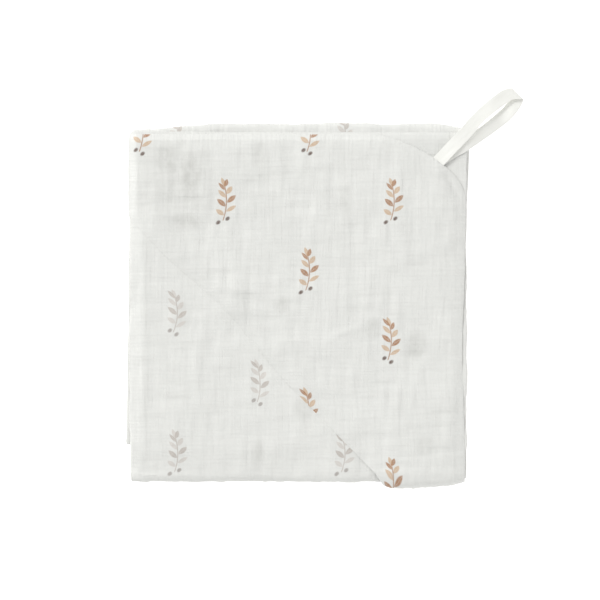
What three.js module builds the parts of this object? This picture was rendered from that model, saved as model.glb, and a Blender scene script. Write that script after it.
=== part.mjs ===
// A folded hooded baby towel. One square of double gauze is folded in thirds across and then in thirds
// along, a three-cornered hood panel lies on its outer face at one corner, and a satin ribbon loop is
// held in the seam there. Millimetres. +X is to the packet's right, +Y to its top, +Z up, and the origin
// is in the middle of its underside.
//
// The cloth is measured by two flat distances from the hood corner: across, from the outer panel's free
// edge, and along, from the front strip's hem. Every sheet is the same folding map, fold(across, along,
// offset), where offset is the distance from the middle of the towel's cloth towards its outer face.
import * as THREE from 'three';

// Cloth: one sheet, and the air between two layers.
const CLOTH = 1.0;
const AIR = 0.4;
const PITCH = CLOTH + AIR;

// First fold, in thirds across: the outer panel on top, the bottom panel under it, the inner panel
// between them.
const OUTER_PANEL = 247;
const BOTTOM_PANEL = 248;
const INNER_PANEL = 240;
const LEFT_BEND_RADIUS = PITCH;
const RIGHT_BEND_RADIUS = PITCH / 2;

// Second fold, in thirds along: the front strip on top, the back strip on the floor, the tucked strip
// between them. A strip is three layers, and its height is that of the middle of its bottom panel.
const FRONT_STRIP = 253;
const BACK_STRIP = 256;
const TUCKED_STRIP = 235;
const TOP_BEND_RADIUS = 1.1;
const BACK_HEIGHT = CLOTH / 2 + 2 * PITCH;
const TUCKED_HEIGHT = BACK_HEIGHT + 2 * TOP_BEND_RADIUS;
const FRONT_HEIGHT = TUCKED_HEIGHT + 3 * PITCH;
const BOTTOM_BEND_RADIUS = (FRONT_HEIGHT - BACK_HEIGHT) / 2;
const STRIP_SKIN = 2 * PITCH + CLOTH / 2;

// Flat distances at which each panel and bend ends.
const LEFT_BEND_START = OUTER_PANEL;
const LEFT_BEND_END = LEFT_BEND_START + Math.PI * LEFT_BEND_RADIUS;
const RIGHT_BEND_START = LEFT_BEND_END + BOTTOM_PANEL;
const RIGHT_BEND_END = RIGHT_BEND_START + Math.PI * RIGHT_BEND_RADIUS;
const CLOTH_ACROSS = RIGHT_BEND_END + INNER_PANEL;
const BOTTOM_BEND_START = FRONT_STRIP;
const BOTTOM_BEND_END = BOTTOM_BEND_START + Math.PI * (BOTTOM_BEND_RADIUS + 2 * PITCH);
const BACK_MIDDLE = BOTTOM_BEND_END + BACK_STRIP / 2;
const TOP_BEND_START = BOTTOM_BEND_END + BACK_STRIP;
const TOP_BEND_END = TOP_BEND_START + Math.PI * (TOP_BEND_RADIUS + 2 * PITCH);
const TUCKED_MIDDLE = TOP_BEND_END + TUCKED_STRIP / 2;
const CLOTH_ALONG = TOP_BEND_END + TUCKED_STRIP;

// How the strip wanders across the packet, a row for each place along it: the x of the outer panel's free
// edge, of the outsides of the left and right folds, and of the inner panel's free edge.
const STRIP_PLACES = [
  { along: 0, freeEdge: 125.4, leftFold: -124.5, rightFold: 126.6, innerEdge: -116.0 },
  { along: FRONT_STRIP * 0.3, freeEdge: 125.2, leftFold: -124.9, rightFold: 125.8, innerEdge: -116.0 },
  { along: FRONT_STRIP * 0.6, freeEdge: 122.8, leftFold: -125.2, rightFold: 126.2, innerEdge: -116.0 },
  { along: BOTTOM_BEND_START, freeEdge: 124.6, leftFold: -124.9, rightFold: 126.0, innerEdge: -115.5 },
  { along: BOTTOM_BEND_END, freeEdge: 124.6, leftFold: -124.9, rightFold: 126.2, innerEdge: -115.5 },
  { along: BACK_MIDDLE, freeEdge: 122.8, leftFold: -124.4, rightFold: 125.0, innerEdge: -115.0 },
  { along: TOP_BEND_START, freeEdge: 126.2, leftFold: -124.0, rightFold: 129.8, innerEdge: -114.0 },
  { along: TOP_BEND_END, freeEdge: 126.0, leftFold: -124.2, rightFold: 129.6, innerEdge: -114.0 },
  { along: TUCKED_MIDDLE, freeEdge: 121.4, leftFold: -126.2, rightFold: 124.0, innerEdge: -117.5 },
  { along: CLOTH_ALONG, freeEdge: 118.0, leftFold: -127.8, rightFold: 121.0, innerEdge: -120.5 },
];

// Where the lines that run across the packet lie along it: the front hem, the outsides of the bottom and
// top folds, and the tucked hem. The two folds draw in towards the packet's corners: each row is a side,
// the distances from the packet's middle between which it happens, and how far.
const FRONT_HEM_Y = 125.4;
const BOTTOM_FOLD_Y = -133.6;
const TOP_FOLD_Y = 133.8;
const TUCKED_HEM_Y = -106;
const TOP_DRAW_IN = [
  { side: -1, from: 50, to: 126, by: 4.2 },
  { side: 1, from: 98, to: 130, by: 3.2 },
];
const BOTTOM_DRAW_IN = [{ side: 1, from: 80, to: 124, by: 0.8 }];

// The hood panel: its two short sides, its long hem's inward bow and where along the hem that bow is, and
// the corner that is rounded off over different distances across and along.
const HOOD_ACROSS = 310;
const HOOD_ALONG = 322;
const HEM_BOW = 4.5;
const HEM_BOW_PLACE = 0.57;
const HEM_BOW_REACH = 0.17;
const HOOD_CORNER = { across: 74, along: 48, power: 1.66 };
const PLAIN_CORNER = { across: 60, along: 60, power: 2 };

// The hood lies a little over one pitch above the towel, stands off it at the bottom fold and is lifted
// where the ribbon enters.
const HOOD_OFFSET = PITCH + 0.1;
const HOOD_PUFF = { across: 50, reach: 50, height: 3.9, spread: 20 };
const HOOD_LIFT = { across: 19, along: 22, reach: 15, height: 4.4 };

// Under the packet the hood's tip lifts the cloth off the floor, and under the front strip it lifts that
// strip.
const FLOOR_TIP = { x: 123, y: -133, reachX: 76, reachY: 66 };
const TUCKED_TIP = { x: -123, y: 130, reachX: 84, reachY: 88 };
const TIP_FALLOFF = 60;

// Soft relief: the packet's crown, the front strip's dip below the tucked hem, and broad swells of the
// top layer.
const CROWN_SHARE = 0.07;
const HALF_WIDTH = 125;
const HALF_LENGTH = 133;
const SWELL_FADE = 20;
const DIP = { fromY: -104, toY: -126, depth: 2.2 };
const TOP_SWELLS = [
  { x: -52, y: 8, reach: 26, height: 0.9 },
  { x: 34, y: -22, reach: 24, height: 0.9 },
  { x: 78, y: 58, reach: 34, height: 0.7 },
  { x: 100, y: -70, reach: 24, height: 0.8 },
  { x: -78, y: -72, reach: 36, height: 0.6 },
  { x: -70, y: 98, reach: 26, height: 0.6 },
];

// The ribbon loop leaves the rounded corner at 45 degrees. A row for each section of the ribbon, from its
// upper end to its lower end: out, along the diagonal from the packet's middle; side, to the upper left
// of that diagonal; up; half, half the section's width; tilt, by which the section's upper left edge is
// raised, in degrees.
const RIBBON = 1.0;
const LOOP_SECTIONS = [
  { out: 142.5, side: 0.0, up: 15.9, half: 4.8, tilt: 0 },
  { out: 150.0, side: 0.1, up: 16.1, half: 4.8, tilt: 0 },
  { out: 162.0, side: 0.5, up: 16.2, half: 4.8, tilt: -2 },
  { out: 176.0, side: 1.0, up: 15.2, half: 4.7, tilt: 2 },
  { out: 190.0, side: 1.9, up: 12.8, half: 4.6, tilt: -6 },
  { out: 201.5, side: 1.6, up: 10.4, half: 4.7, tilt: 2 },
  { out: 212.5, side: 0.4, up: 8.0, half: 4.9, tilt: 8 },
  { out: 220.3, side: -1.3, up: 6.4, half: 5.1, tilt: 6 },
  { out: 224.9, side: -4.6, up: 5.3, half: 5.7, tilt: 4 },
  { out: 226.3, side: -6.0, up: 4.0, half: 6.0, tilt: 0 },
  { out: 224.9, side: -7.4, up: 2.8, half: 5.7, tilt: 4 },
  { out: 220.3, side: -10.0, up: 2.9, half: 4.9, tilt: 20 },
  { out: 212.0, side: -12.4, up: 4.1, half: 4.5, tilt: 44 },
  { out: 201.0, side: -12.9, up: 5.2, half: 4.5, tilt: 58 },
  { out: 190.5, side: -11.2, up: 7.8, half: 4.5, tilt: 54 },
  { out: 179.0, side: -8.3, up: 10.7, half: 4.5, tilt: 40 },
  { out: 168.0, side: -5.2, up: 13.2, half: 4.5, tilt: 8 },
  { out: 158.0, side: -2.0, up: 14.4, half: 4.5, tilt: 0 },
  { out: 150.0, side: -0.4, up: 14.6, half: 4.5, tilt: 0 },
  { out: 142.5, side: 0.0, up: 14.5, half: 4.5, tilt: 0 },
];

// How finely the solids are cut: cells in each panel or strip, by how much the hood's front cells are
// split further, cells in each bend, and steps between two ribbon sections.
const PANEL_CELLS = 12;
const HOOD_SPLIT = 2;
const BEND_CELLS = { left: 6, right: 4, bottom: 9, top: 5 };
const RIBBON_STEPS = 4;

// How a flat grid is fitted to an outline: a grid point within this share of a cell is moved onto the
// outline, a value this small counts as on it, and both searches for the outline stop after so many
// rounds.
const SNAP_SHARE = 0.2;
const ON_OUTLINE = 1e-6;
const SNAP_ROUNDS = 4;
const CROSSING_ROUNDS = 30;
const SLOPE_STEP = 1e-3;

const clamp01 = (value) => Math.min(1, Math.max(0, value));
const smoothStep = (value) => clamp01(value) ** 2 * (3 - 2 * clamp01(value));
const bell = (distance, reach) => Math.exp(-((distance / reach) ** 2));

/** A column of a table at a place between its rows, on a smooth curve through them. */
function smoothColumn(rows, positions, column, place) {
  const last = rows.length - 1;
  let row = 0;
  while (row < last - 1 && place > positions[row + 1]) row += 1;
  const slope = (index) => {
    const before = Math.max(0, index - 1);
    const after = Math.min(last, index + 1);
    return (rows[after][column] - rows[before][column]) / (positions[after] - positions[before]);
  };
  const span = positions[row + 1] - positions[row];
  const t = clamp01((place - positions[row]) / span);
  const start = (1 + 2 * t) * (1 - t) ** 2 * rows[row][column] + t * (1 - t) ** 2 * span * slope(row);
  const end = t ** 2 * (3 - 2 * t) * rows[row + 1][column] - t ** 2 * (1 - t) * span * slope(row + 1);
  return start + end;
}

const STRIP_POSITIONS = STRIP_PLACES.map((place) => place.along);
const stripLine = (column, along) => smoothColumn(STRIP_PLACES, STRIP_POSITIONS, column, along);

/** The point of a half circle from its start angle, and the outward direction there. */
function bendPoint(centreX, centreH, radius, startAngle, share) {
  const angle = startAngle + Math.PI * share;
  const [outX, outH] = [Math.cos(angle), Math.sin(angle)];
  return { x: centreX + radius * outX, h: centreH + radius * outH, outX, outH };
}

/** The first fold: where a flat distance across lies in the strip's section, and its outer face's side. */
function sectionPoint(across, along) {
  const freeEdge = stripLine('freeEdge', along);
  const left = stripLine('leftFold', along) + LEFT_BEND_RADIUS + CLOTH / 2;
  const right = stripLine('rightFold', along) - RIGHT_BEND_RADIUS - CLOTH / 2;
  if (across <= LEFT_BEND_START) {
    const share = across / OUTER_PANEL;
    return { x: freeEdge + (left - freeEdge) * share, h: 2 * PITCH, outX: 0, outH: 1 };
  }
  if (across < LEFT_BEND_END) {
    const share = (across - LEFT_BEND_START) / (LEFT_BEND_END - LEFT_BEND_START);
    return bendPoint(left, LEFT_BEND_RADIUS, LEFT_BEND_RADIUS, Math.PI / 2, share);
  }
  if (across <= RIGHT_BEND_START) {
    const share = (across - LEFT_BEND_END) / BOTTOM_PANEL;
    return { x: left + (right - left) * share, h: 0, outX: 0, outH: -1 };
  }
  if (across < RIGHT_BEND_END) {
    const share = (across - RIGHT_BEND_START) / (RIGHT_BEND_END - RIGHT_BEND_START);
    return bendPoint(right, RIGHT_BEND_RADIUS, RIGHT_BEND_RADIUS, -Math.PI / 2, share);
  }
  const share = (across - RIGHT_BEND_END) / INNER_PANEL;
  const innerEdge = stripLine('innerEdge', along);
  return { x: right + (innerEdge - right) * share, h: PITCH, outX: 0, outH: 1 };
}

/** How far a fold that runs across the packet is drawn in at an x. */
function drawnIn(rows, x) {
  const rowShare = ({ side, from, to, by }) => by * smoothStep((x * side - from) / (to - from));
  return rows.reduce((sum, row) => sum + rowShare(row), 0);
}

/** The second fold: the strip's middle line at a flat distance along, and which way its outer side is. */
function stripPoint(along, x) {
  const bottom = BOTTOM_FOLD_Y + drawnIn(BOTTOM_DRAW_IN, x) + BOTTOM_BEND_RADIUS + STRIP_SKIN;
  const top = TOP_FOLD_Y - drawnIn(TOP_DRAW_IN, x) - TOP_BEND_RADIUS - STRIP_SKIN;
  if (along <= BOTTOM_BEND_START) {
    const share = along / FRONT_STRIP;
    return { y: FRONT_HEM_Y + (bottom - FRONT_HEM_Y) * share, z: FRONT_HEIGHT, outY: 0, outZ: 1 };
  }
  if (along < BOTTOM_BEND_END) {
    const share = (along - BOTTOM_BEND_START) / (BOTTOM_BEND_END - BOTTOM_BEND_START);
    const centre = BACK_HEIGHT + BOTTOM_BEND_RADIUS;
    const bend = bendPoint(bottom, centre, BOTTOM_BEND_RADIUS, Math.PI / 2, share);
    return { y: bend.x, z: bend.h, outY: bend.outX, outZ: bend.outH };
  }
  if (along <= TOP_BEND_START) {
    const share = (along - BOTTOM_BEND_END) / BACK_STRIP;
    return { y: bottom + (top - bottom) * share, z: BACK_HEIGHT, outY: 0, outZ: -1 };
  }
  if (along < TOP_BEND_END) {
    const share = (along - TOP_BEND_START) / (TOP_BEND_END - TOP_BEND_START);
    const centre = BACK_HEIGHT + TOP_BEND_RADIUS;
    const bend = bendPoint(top, centre, TOP_BEND_RADIUS, -Math.PI / 2, share);
    return { y: bend.x, z: bend.h, outY: bend.outX, outZ: bend.outH };
  }
  const share = (along - TOP_BEND_END) / TUCKED_STRIP;
  return { y: top + (TUCKED_HEM_Y - top) * share, z: TUCKED_HEIGHT, outY: 0, outZ: 1 };
}

/** The lift over a hood tip: the hood's offset over the tip itself, falling off softly past its long side. */
function tipLift(tip, x, y) {
  const fromCorner = Math.abs(x - tip.x) / tip.reachX + Math.abs(y - tip.y) / tip.reachY;
  const past = (fromCorner - 1) * Math.min(tip.reachX, tip.reachY);
  return HOOD_OFFSET * (1 - smoothStep(past / TIP_FALLOFF));
}

/** The broad swells of the top layer, which fade out towards the packet's edges. */
function topSwell(x, y) {
  const fade = smoothStep((HALF_WIDTH - Math.abs(x)) / SWELL_FADE)
    * smoothStep((HALF_LENGTH - Math.abs(y)) / SWELL_FADE);
  const heightOf = (swell) => swell.height * bell(Math.hypot(x - swell.x, y - swell.y), swell.reach);
  return fade * TOP_SWELLS.reduce((sum, swell) => sum + heightOf(swell), 0);
}

/** How much the packet's height grows towards its middle. */
function crown(x, y) {
  const inside = (1 - Math.min(1, (x / HALF_WIDTH) ** 4)) * (1 - Math.min(1, (y / HALF_LENGTH) ** 4));
  return 1 + CROWN_SHARE * inside;
}

/** The folding map: flat distances and an offset towards the outer face, to a place in the packet. */
function fold(across, along, offset) {
  const section = sectionPoint(across, along);
  const x = section.x + offset * section.outX;
  const h = section.h + offset * section.outH;
  const strip = stripPoint(along, x);
  const y = strip.y + h * strip.outY;
  let z = strip.z + h * strip.outZ;
  if (along <= BOTTOM_BEND_START) {
    const topShare = smoothStep((h - PITCH - CLOTH / 2) / AIR);
    z += tipLift(TUCKED_TIP, x, y) + topSwell(x, y) * topShare;
  }
  const dipShare = clamp01((z - BACK_HEIGHT - CLOTH / 2) / (FRONT_HEIGHT - BACK_HEIGHT - CLOTH));
  z -= DIP.depth * smoothStep((DIP.fromY - y) / (DIP.fromY - DIP.toY)) * dipShare;
  z += tipLift(FLOOR_TIP, x, y);
  return new THREE.Vector3(x, y, z * crown(x, y));
}

/**
 * Signed distance inside a corner at the flat origin that is rounded off as a superellipse. Past the rounding
 * the grid's own edge is the outline, so any point there is well inside.
 */
function insideCorner(corner, across, along) {
  if (across >= corner.across || along >= corner.along) return CLOTH_ALONG;
  const shareAcross = (corner.across - across) / corner.across;
  const shareAlong = (corner.along - along) / corner.along;
  const radius = (shareAcross ** corner.power + shareAlong ** corner.power) ** (1 / corner.power);
  return (1 - radius) * Math.min(corner.across, corner.along);
}

/** Signed distance inside the flat towel's outline. */
function insideTowel(across, along) {
  const farAcross = CLOTH_ACROSS - across;
  const farAlong = CLOTH_ALONG - along;
  return Math.min(
    insideCorner(HOOD_CORNER, across, along),
    insideCorner(PLAIN_CORNER, farAcross, along),
    insideCorner(PLAIN_CORNER, across, farAlong),
    insideCorner(PLAIN_CORNER, farAcross, farAlong),
  );
}

/** Signed distance inside the flat hood's outline. */
function insideHood(across, along) {
  const place = across / HOOD_ACROSS;
  const bowShare = clamp01(Math.abs(place - HEM_BOW_PLACE) / HEM_BOW_REACH);
  const bow = HEM_BOW * (1 + Math.cos(Math.PI * bowShare)) / 2;
  const slope = Math.hypot(1 / HOOD_ACROSS, 1 / HOOD_ALONG);
  const hem = (1 - across / HOOD_ACROSS - along / HOOD_ALONG) / slope - bow;
  return Math.min(hem, insideCorner(HOOD_CORNER, across, along));
}

/** The hood's distance from the middle of the towel's cloth. */
function hoodOffset(across, along) {
  const bendMiddle = (BOTTOM_BEND_START + BOTTOM_BEND_END) / 2;
  const aboveFloor = 1 - smoothStep((along - bendMiddle) / (BOTTOM_BEND_END - bendMiddle));
  const puff = HOOD_PUFF.height * aboveFloor
    * bell(across - HOOD_PUFF.across, HOOD_PUFF.reach)
    * bell(along - bendMiddle, HOOD_PUFF.spread);
  const fromRibbon = Math.hypot(across - HOOD_LIFT.across, along - HOOD_LIFT.along);
  return HOOD_OFFSET + puff + HOOD_LIFT.height * bell(fromRibbon, HOOD_LIFT.reach);
}

/** Grid lines from a list of [length, cells] stretches. */
function gridLines(stretches) {
  const lines = [0];
  for (const [length, cells] of stretches) {
    const start = lines[lines.length - 1];
    for (let cell = 1; cell <= cells; cell += 1) lines.push(start + length * cell / cells);
  }
  return lines;
}

/** The distance from a grid line to the nearer of its neighbours. */
function nearestLine(lines, index) {
  const before = index > 0 ? lines[index] - lines[index - 1] : Infinity;
  const after = index < lines.length - 1 ? lines[index + 1] - lines[index] : Infinity;
  return Math.min(before, after);
}

/** A closed sheet over the part of a flat grid that lies inside an outline. */
function makeSheet(acrossLines, alongLines, inside, offsetOf) {
  const flatPoints = [];
  const insideOf = [];
  const columns = alongLines.length;
  const ends = [acrossLines[acrossLines.length - 1], alongLines[columns - 1]];
  acrossLines.forEach((acrossLine, i) => alongLines.forEach((alongLine, j) => {
    const reach = SNAP_SHARE * Math.min(nearestLine(acrossLines, i), nearestLine(alongLines, j));
    const point = snapToOutline([acrossLine, alongLine], ends, inside, reach);
    flatPoints.push(point);
    const value = inside(point[0], point[1]);
    insideOf.push(Math.abs(value) < ON_OUTLINE ? 0 : value);
  }));

  const cutPoints = new Map();
  const cutBetween = (a, b) => {
    const key = a < b ? `${a}_${b}` : `${b}_${a}`;
    if (!cutPoints.has(key)) {
      cutPoints.set(key, flatPoints.length);
      flatPoints.push(outlineCrossing(flatPoints[a], flatPoints[b], inside));
      insideOf.push(0);
    }
    return cutPoints.get(key);
  };

  const faces = [];
  for (let i = 0; i < acrossLines.length - 1; i += 1) {
    for (let j = 0; j < columns - 1; j += 1) {
      const a = i * columns + j;
      const b = a + columns;
      const [c, d] = [b + 1, a + 1];
      for (const triangle of [[a, b, c], [a, c, d]]) {
        const corners = clipTriangle(triangle, flatPoints, insideOf, inside, cutBetween);
        for (let k = 2; k < corners.length; k += 1) faces.push([corners[0], corners[k - 1], corners[k]]);
      }
    }
  }
  return closeSheet(faces, flatPoints, offsetOf);
}

/** A flat point, moved onto the outline if it is very near it, but never past the grid's own edges. */
function snapToOutline(start, ends, inside, reach) {
  let point = start;
  for (let round = 0; round < SNAP_ROUNDS; round += 1) {
    const [across, along] = point;
    const value = inside(across, along);
    if (Math.abs(value) > reach || Math.abs(value) < ON_OUTLINE) return point;
    const slope = [
      (inside(across + SLOPE_STEP, along) - inside(across - SLOPE_STEP, along)) / (2 * SLOPE_STEP),
      (inside(across, along + SLOPE_STEP) - inside(across, along - SLOPE_STEP)) / (2 * SLOPE_STEP),
    ];
    const steepness = slope[0] ** 2 + slope[1] ** 2;
    const moved = point.map((flat, axis) => flat - value * slope[axis] / steepness);
    point = moved.map((flat, axis) => Math.min(ends[axis], Math.max(0, flat)));
  }
  return point;
}

/** The place between an inner and an outer point where the outline passes. */
function outlineCrossing(from, to, inside) {
  const between = (share) => [0, 1].map((axis) => from[axis] + (to[axis] - from[axis]) * share);
  const fromInside = inside(from[0], from[1]) > 0;
  let [low, high] = [0, 1];
  for (let round = 0; round < CROSSING_ROUNDS; round += 1) {
    const middle = (low + high) / 2;
    const isInside = inside(...between(middle)) > 0;
    if (isInside === fromInside) low = middle;
    else high = middle;
  }
  return between(low);
}

/** The corners of a triangle's part that is inside, in order. */
function clipTriangle(triangle, flatPoints, insideOf, inside, cutBetween) {
  if (triangle.every((corner) => insideOf[corner] >= 0)) {
    const mean = (axis) => triangle.reduce((sum, corner) => sum + flatPoints[corner][axis] / 3, 0);
    return inside(mean(0), mean(1)) > 0 ? triangle : [];
  }
  if (!triangle.some((corner) => insideOf[corner] > 0)) return [];
  const corners = [];
  triangle.forEach((corner, index) => {
    const next = triangle[(index + 1) % 3];
    if (insideOf[corner] >= 0) corners.push(corner);
    if (insideOf[corner] * insideOf[next] < 0) corners.push(cutBetween(corner, next));
  });
  return corners;
}

/** Two faces half a cloth either side of an offset surface, and the rim that joins them. */
function closeSheet(faces, flatPoints, offsetOf) {
  const used = [...new Set(faces.flat())];
  const place = new Map(used.map((corner, index) => [corner, index]));
  const positions = [];
  for (const half of [CLOTH / 2, -CLOTH / 2]) {
    for (const corner of used) {
      const [across, along] = flatPoints[corner];
      const point = fold(across, along, offsetOf(across, along) + half);
      positions.push(point.x, point.y, point.z);
    }
  }
  const indices = [];
  const rim = new Map();
  for (const face of faces) {
    const [a, b, c] = face.map((corner) => place.get(corner));
    indices.push(a, b, c, b + used.length, a + used.length, c + used.length);
    for (const [from, to] of [[a, b], [b, c], [c, a]]) {
      if (!rim.delete(`${to}_${from}`)) rim.set(`${from}_${to}`, [from, to]);
    }
  }
  for (const [from, to] of rim.values()) {
    indices.push(to, from, from + used.length, to, from + used.length, to + used.length);
  }
  return indexedGeometry(positions, indices);
}

function indexedGeometry(positions, indices) {
  const geometry = new THREE.BufferGeometry();
  geometry.setAttribute('position', new THREE.Float32BufferAttribute(positions, 3));
  geometry.setIndex(indices);
  geometry.computeVertexNormals();
  return geometry;
}

/** The ribbon: a flat section carried through the loop's rows. */
function makeLoop() {
  const diagonal = new THREE.Vector3(1, 1, 0).normalize();
  const sideways = new THREE.Vector3(-1, 1, 0).normalize();
  const up = new THREE.Vector3(0, 0, 1);
  const reaches = [0];
  LOOP_SECTIONS.slice(1).forEach((row, index) => {
    const before = LOOP_SECTIONS[index];
    const step = Math.hypot(row.out - before.out, row.side - before.side, row.up - before.up);
    reaches.push(reaches[index] + step);
  });
  const value = (column, reach) => smoothColumn(LOOP_SECTIONS, reaches, column, reach);
  const centre = (reach) => new THREE.Vector3()
    .addScaledVector(diagonal, value('out', reach))
    .addScaledVector(sideways, value('side', reach))
    .addScaledVector(up, value('up', reach));

  const stations = [];
  for (let row = 0; row < reaches.length - 1; row += 1) {
    for (let step = 0; step < RIBBON_STEPS; step += 1) {
      stations.push(reaches[row] + (reaches[row + 1] - reaches[row]) * step / RIBBON_STEPS);
    }
  }
  stations.push(reaches[reaches.length - 1]);

  const positions = [];
  const nudge = 0.05;
  const end = reaches[reaches.length - 1];
  for (const reach of stations) {
    const middle = centre(reach);
    const before = centre(Math.max(0, reach - nudge));
    const forward = centre(Math.min(end, reach + nudge)).sub(before).normalize();
    const tilt = THREE.MathUtils.degToRad(value('tilt', reach));
    const width = sideways.clone().multiplyScalar(Math.cos(tilt)).addScaledVector(up, Math.sin(tilt));
    const face = forward.clone().cross(width).normalize();
    const half = value('half', reach);
    for (const [widthSide, faceSide] of [[1, 1], [-1, 1], [-1, -1], [1, -1]]) {
      const corner = middle.clone()
        .addScaledVector(width, widthSide * half)
        .addScaledVector(face, faceSide * RIBBON / 2);
      positions.push(corner.x, corner.y, corner.z);
    }
  }
  const indices = [0, 2, 1, 0, 3, 2];
  for (let station = 0; station < stations.length - 1; station += 1) {
    for (let side = 0; side < 4; side += 1) {
      const a = station * 4 + side;
      const b = station * 4 + (side + 1) % 4;
      indices.push(a, b, b + 4, a, b + 4, a + 4);
    }
  }
  const last = (stations.length - 1) * 4;
  indices.push(last, last + 1, last + 2, last, last + 2, last + 3);
  return indexedGeometry(positions, indices);
}

const acrossLines = (split) => gridLines([
  [OUTER_PANEL, PANEL_CELLS * split],
  [LEFT_BEND_END - LEFT_BEND_START, BEND_CELLS.left],
  [BOTTOM_PANEL, PANEL_CELLS],
  [RIGHT_BEND_END - RIGHT_BEND_START, BEND_CELLS.right],
  [INNER_PANEL, PANEL_CELLS],
]);
const alongLines = (split) => gridLines([
  [FRONT_STRIP, PANEL_CELLS * split],
  [BOTTOM_BEND_END - BOTTOM_BEND_START, BEND_CELLS.bottom],
  [BACK_STRIP, PANEL_CELLS],
  [TOP_BEND_END - TOP_BEND_START, BEND_CELLS.top],
  [TUCKED_STRIP, PANEL_CELLS],
]);

const gauze = new THREE.MeshStandardMaterial({ color: '#f3f2ec', roughness: 0.95, metalness: 0 });
const hoodGauze = new THREE.MeshStandardMaterial({ color: '#f5f4ee', roughness: 0.95, metalness: 0 });
const satin = new THREE.MeshStandardMaterial({ color: '#f0efe2', roughness: 0.4, metalness: 0 });

const folded = new THREE.Group();
const addPiece = (name, geometry, material) => {
  const piece = new THREE.Mesh(geometry, material);
  piece.name = name;
  folded.add(piece);
};
const towelSheet = makeSheet(acrossLines(1), alongLines(1), insideTowel, () => 0);
const hoodSheet = makeSheet(acrossLines(HOOD_SPLIT), alongLines(HOOD_SPLIT), insideHood, hoodOffset);
addPiece('towel', towelSheet, gauze);
addPiece('hood', hoodSheet, hoodGauze);
addPiece('hanging_loop', makeLoop(), satin);

export default folded;
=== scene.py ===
"""The looks of a folded hooded baby towel: crinkled double gauze, a sprig print and a satin ribbon loop.

Sizes are in millimetres, and each mesh turns them into metres as it is made. The cloth is measured by two
flat distances from the hood corner: across, from the outer panel's free edge, and along, from the front
strip's hem. Both cloth sheets follow one folding map, fold(across, along, offset), where offset is the
distance from the middle of the towel's cloth towards its outer face.
"""

import math

import bpy
import numpy as np
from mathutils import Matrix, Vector


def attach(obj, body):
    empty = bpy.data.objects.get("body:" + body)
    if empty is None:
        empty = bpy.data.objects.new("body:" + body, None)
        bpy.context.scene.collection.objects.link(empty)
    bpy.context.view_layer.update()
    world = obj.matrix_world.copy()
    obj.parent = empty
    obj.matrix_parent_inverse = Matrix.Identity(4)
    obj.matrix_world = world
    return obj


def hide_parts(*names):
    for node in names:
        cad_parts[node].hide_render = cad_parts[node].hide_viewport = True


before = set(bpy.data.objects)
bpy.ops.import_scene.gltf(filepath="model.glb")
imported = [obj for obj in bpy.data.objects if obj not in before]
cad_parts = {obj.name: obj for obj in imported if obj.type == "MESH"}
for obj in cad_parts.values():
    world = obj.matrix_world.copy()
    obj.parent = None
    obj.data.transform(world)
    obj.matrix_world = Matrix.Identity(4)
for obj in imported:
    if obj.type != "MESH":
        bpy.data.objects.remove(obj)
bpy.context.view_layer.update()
METRES = 0.001


def table(columns, *rows):
    """Rows of numbers, each as a dict by the names of the columns."""
    return [dict(zip(columns.split(), row)) for row in rows]


# The solids' cloth and the air between two layers, and the thinner cloth that is shown in its place.
CLOTH = 1.0
AIR = 0.4
PITCH = CLOTH + AIR
GAUZE = 0.6

# First fold, in thirds across: the outer panel on top, the bottom panel under it, the inner panel between.
OUTER_PANEL = 247
BOTTOM_PANEL = 248
INNER_PANEL = 240
LEFT_BEND_RADIUS = PITCH
RIGHT_BEND_RADIUS = PITCH / 2

# Second fold, in thirds along: the front strip on top, the back strip on the floor, the tucked strip between.
FRONT_STRIP = 253
BACK_STRIP = 256
TUCKED_STRIP = 235
TOP_BEND_RADIUS = 1.1
BACK_HEIGHT = CLOTH / 2 + 2 * PITCH
TUCKED_HEIGHT = BACK_HEIGHT + 2 * TOP_BEND_RADIUS
FRONT_HEIGHT = TUCKED_HEIGHT + 3 * PITCH
BOTTOM_BEND_RADIUS = (FRONT_HEIGHT - BACK_HEIGHT) / 2
STRIP_SKIN = 2 * PITCH + GAUZE / 2
TOP_HEIGHT = FRONT_HEIGHT + 2 * PITCH

# Flat distances at which each panel and bend ends.
LEFT_BEND_START = OUTER_PANEL
LEFT_BEND_END = LEFT_BEND_START + math.pi * LEFT_BEND_RADIUS
RIGHT_BEND_START = LEFT_BEND_END + BOTTOM_PANEL
RIGHT_BEND_END = RIGHT_BEND_START + math.pi * RIGHT_BEND_RADIUS
CLOTH_ACROSS = RIGHT_BEND_END + INNER_PANEL
ACROSS_ENDS = LEFT_BEND_START, LEFT_BEND_END, RIGHT_BEND_START, RIGHT_BEND_END, CLOTH_ACROSS
BOTTOM_BEND_START = FRONT_STRIP
BOTTOM_BEND_END = BOTTOM_BEND_START + math.pi * (BOTTOM_BEND_RADIUS + 2 * PITCH)
BACK_MIDDLE = BOTTOM_BEND_END + BACK_STRIP / 2
TOP_BEND_START = BOTTOM_BEND_END + BACK_STRIP
TOP_BEND_END = TOP_BEND_START + math.pi * (TOP_BEND_RADIUS + 2 * PITCH)
TUCKED_MIDDLE = TOP_BEND_END + TUCKED_STRIP / 2
CLOTH_ALONG = TOP_BEND_END + TUCKED_STRIP
ALONG_ENDS = BOTTOM_BEND_START, BOTTOM_BEND_END, TOP_BEND_START, TOP_BEND_END, CLOTH_ALONG

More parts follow.
